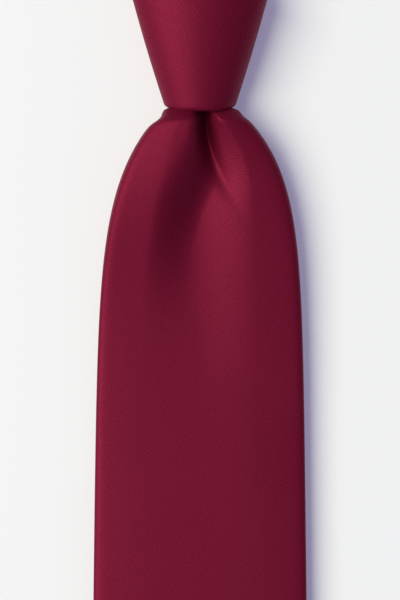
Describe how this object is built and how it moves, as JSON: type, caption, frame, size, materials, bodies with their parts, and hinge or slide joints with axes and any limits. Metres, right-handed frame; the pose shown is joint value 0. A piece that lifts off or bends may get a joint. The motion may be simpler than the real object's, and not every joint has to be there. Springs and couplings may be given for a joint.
{
  "type": "necktie",
  "caption": "Knotted satin necktie lying flat on its back: wedge-shaped dimpled knot, long front blade, narrower tail held behind it by a keeper, and neck loop.",
  "frame": {"origin": "middle of the knot's flat back, on the surface that the tie lies on", "axes": "+Z out of the surface and out of the tie's front face, +Y from the blade's point towards the neck loop, +X to the tie's right as seen from the front"},
  "size_m": [0.1382, 0.6405, 0.0338],
  "materials": {
    "satin": "dark red twill satin with a soft sheen",
    "lining": "smooth lining cloth",
    "interlining": "brushed undyed wool canvas",
    "thread": "matching sewing thread",
    "label": "blank woven label"
  },
  "bodies": {
    "knot": {"knot_front_band": "satin", "knot_left_wrap": "satin", "knot_right_wrap": "satin", "knot_top_pass": "satin", "knot_back_wrap": "satin", "tail_throat": "satin"},
    "front_blade": {"blade_shell": "satin", "blade_interlining": "interlining", "blade_tipping": "lining", "blade_slip_stitch": "thread", "blade_bar_tack": "thread", "keeper_loop": "satin"},
    "tail": {"tail_shell": "satin", "tail_interlining": "interlining", "tail_tipping": "lining", "tail_slip_stitch": "thread", "tail_bar_tack": "thread", "care_label": "label"},
    "neck_loop": {"blade_leg_shell": "satin", "neck_piece_shell": "satin", "tail_leg_shell": "satin", "neck_interlining": "interlining", "blade_join_seam": "thread", "tail_join_seam": "thread", "neck_slip_stitch": "thread"}
  },
  "joints": [
    {"name": "blade_lift", "type": "hinge", "parent": "knot", "child": "front_blade", "pos_m": [0, -0.025, 0.017], "axis": [-1, 0, 0], "range_deg": [0, 80]},
    {"name": "tail_pull", "type": "slide", "parent": "front_blade", "child": "tail", "axis": [0, -1, 0], "range_m": [0, 0.04]},
    {"name": "loop_tilt", "type": "hinge", "parent": "knot", "child": "neck_loop", "pos_m": [0, 0.025, 0.012], "axis": [-1, 0, 0], "range_deg": [0, 80]}
  ]
}
